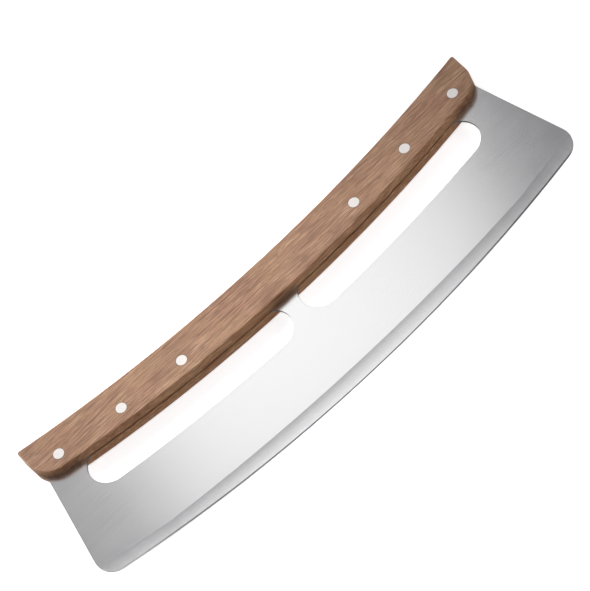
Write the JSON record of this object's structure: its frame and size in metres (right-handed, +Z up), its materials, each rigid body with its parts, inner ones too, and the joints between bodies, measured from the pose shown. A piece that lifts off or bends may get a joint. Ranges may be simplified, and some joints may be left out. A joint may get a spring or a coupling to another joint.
{
  "type": "rocking pizza knife",
  "caption": "Curved steel rocker blade with two finger slots, under a wooden handle of two riveted scales.",
  "frame": {"origin": "on the table, under the middle of the knife's box", "axes": "+X along the knife, +Y from the cutting edge to the handle, +Z up from the table, out of the front face. The knife lies as it does when put down, on the middle of its edge and on the lower edge of the rear scale, so the blade's plane leans by 5.38 degrees about X."},
  "size_m": [0.35, 0.114, 0.018],
  "materials": {
    "blade_steel": "satin",
    "handle_wood": "satin",
    "rivet_steel": "satin"
  },
  "bodies": {
    "root": {"blade": "blade_steel", "front_scale": "handle_wood", "rear_scale": "handle_wood", "rivet_stud_1": "rivet_steel", "rivet_stud_2": "rivet_steel", "rivet_stud_3": "rivet_steel", "rivet_stud_4": "rivet_steel", "rivet_stud_5": "rivet_steel", "rivet_stud_6": "rivet_steel", "rivet_socket_1": "rivet_steel", "rivet_socket_2": "rivet_steel", "rivet_socket_3": "rivet_steel", "rivet_socket_4": "rivet_steel", "rivet_socket_5": "rivet_steel", "rivet_socket_6": "rivet_steel"}
  },
  "joints": []
}
